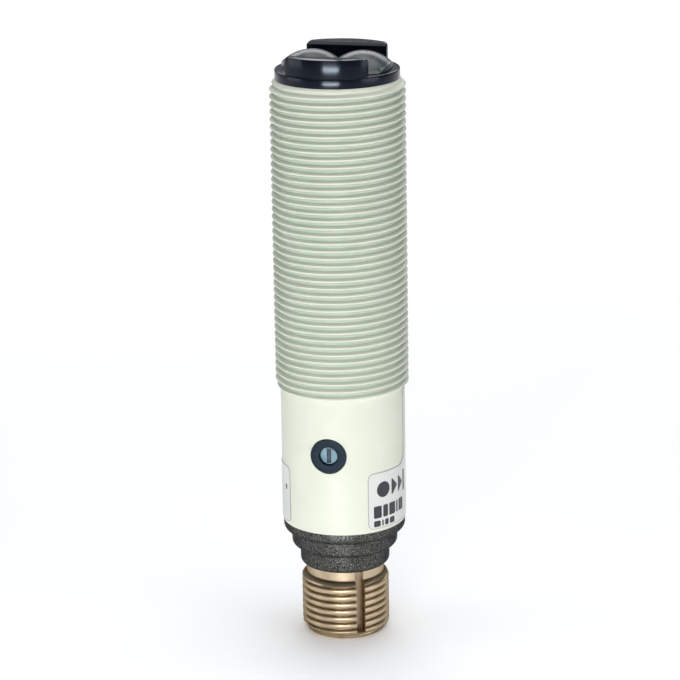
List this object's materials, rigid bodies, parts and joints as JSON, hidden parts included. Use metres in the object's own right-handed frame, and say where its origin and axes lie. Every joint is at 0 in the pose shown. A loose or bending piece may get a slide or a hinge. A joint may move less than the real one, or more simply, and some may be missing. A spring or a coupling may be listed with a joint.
{
  "type": "photoelectric sensor",
  "caption": "Cylindrical threaded photoelectric sensor with twin lenses between two guard walls, a sensitivity trimmer and a plug connector.",
  "frame": {"origin": "centre of the plug's end face, on the barrel's axis", "axes": "+Z along the barrel from the plug to the lenses; -Y out of the trimmer; +X to the right seen from the trimmer's side"},
  "size_m": [0.0178, 0.0178, 0.0799],
  "materials": {
    "housing_plastic": "satin moulded, grey-green ivory",
    "cap_black": "glossy moulded",
    "lens_clear": "clear polished",
    "seal_rubber": "matte",
    "block_black": "matte moulded",
    "led_red": "clear tinted",
    "diode_dark": "dark filter resin",
    "board_green": "solder mask",
    "chip_black": "matte",
    "can_metal": "satin",
    "led_yellow": "clear tinted",
    "pot_blue": "moulded",
    "wiper_white": "moulded",
    "spindle_grey": "moulded blue-grey",
    "bezel_black": "fine satin",
    "cap_smoke": "smoked, fine grain",
    "plug_brass": "turned, nickel-gold tone",
    "pin_gold": "gold plated",
    "lead_insulation": "extruded",
    "label_white": "printed polyester film"
  },
  "bodies": {
    "sensor_body": {"housing": "housing_plastic", "optic_cap": "cap_black", "emitter_lens": "lens_clear", "receiver_lens": "lens_clear", "front_seal": "seal_rubber", "optic_block": "block_black", "emitter_led": "led_red", "receiver_diode": "diode_dark", "circuit_board": "board_green", "signal_chip": "chip_black", "output_transistor": "chip_black", "filter_capacitor": "can_metal", "chip_resistors": "chip_black", "status_led": "led_yellow", "trimmer_pot": "pot_blue", "trimmer_bezel": "bezel_black", "trimmer_seal": "seal_rubber", "rear_cap": "cap_smoke", "rear_seal": "seal_rubber", "connector_shell": "plug_brass", "connector_seal": "seal_rubber", "contact_carrier": "block_black", "contact_pin_1": "pin_gold", "contact_pin_2": "pin_gold", "contact_pin_3": "pin_gold", "contact_pin_4": "pin_gold", "pin_leads": "lead_insulation", "label": "label_white"},
    "trimmer": {"trimmer_spindle": "spindle_grey", "trimmer_wiper": "wiper_white"}
  },
  "joints": [
    {"name": "trimmer_turn", "type": "hinge", "parent": "sensor_body", "child": "trimmer", "pos_m": [0, -0.00783, 0.02705], "axis": [0, -1, 0], "range_deg": [-135, 135]}
  ]
}
